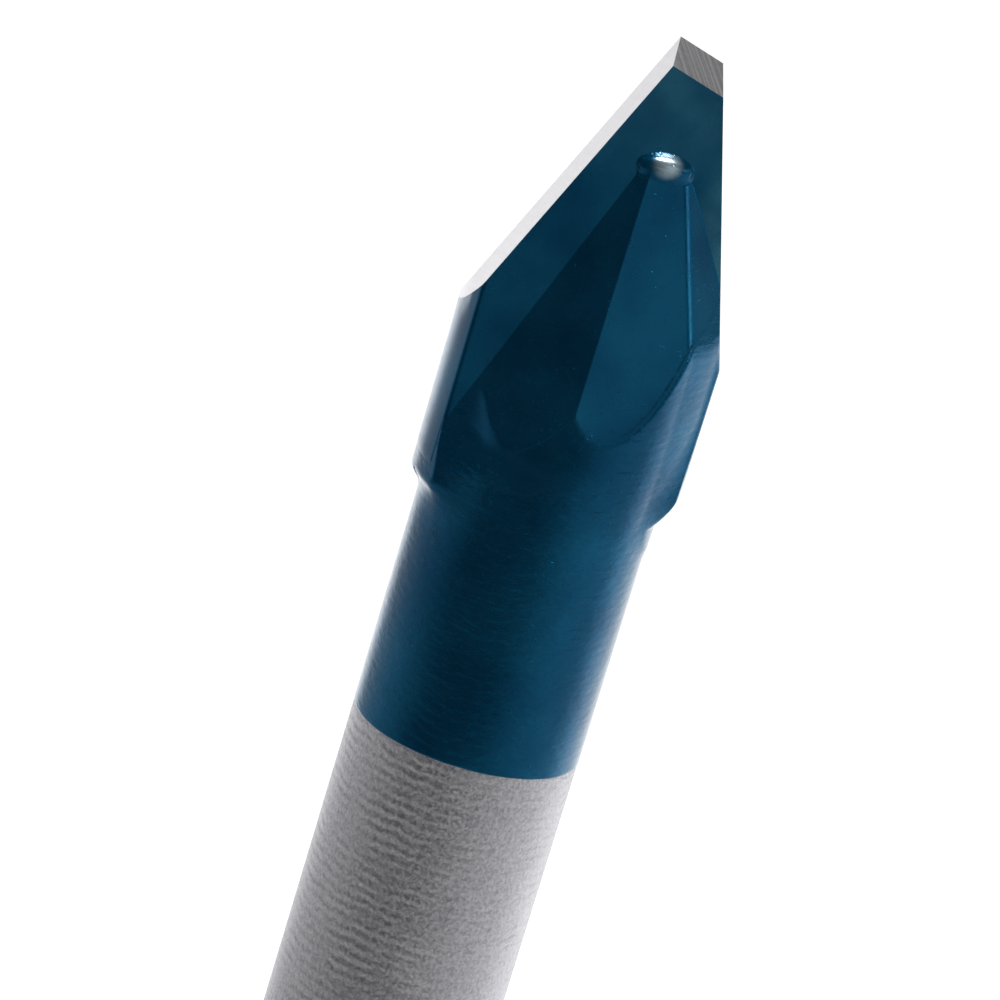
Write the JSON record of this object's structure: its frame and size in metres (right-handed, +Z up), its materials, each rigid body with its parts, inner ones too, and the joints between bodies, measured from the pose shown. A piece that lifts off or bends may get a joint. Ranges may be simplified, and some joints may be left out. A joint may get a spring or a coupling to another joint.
{
  "type": "glass and tile drill bit",
  "caption": "Glass and tile drill bit: round grey steel shank, spear-shaped carbide blade brazed in a slotted end, glossy petrol-blue lacquer on the head and neck.",
  "frame": {"origin": "centre of the flat tail end of the shank, on which the bit stands", "axes": "+Z up the shank's axis towards the point; the blade's broad faces look along -Y and +Y, its width runs along X"},
  "size_m": [0.0079, 0.007, 0.08],
  "materials": {
    "steel": "satin",
    "carbide": "ground",
    "braze": "lacquered"
  },
  "bodies": {
    "root": {"shank": "steel", "carbide_tip": "carbide", "braze_joint": "braze"}
  },
  "joints": []
}
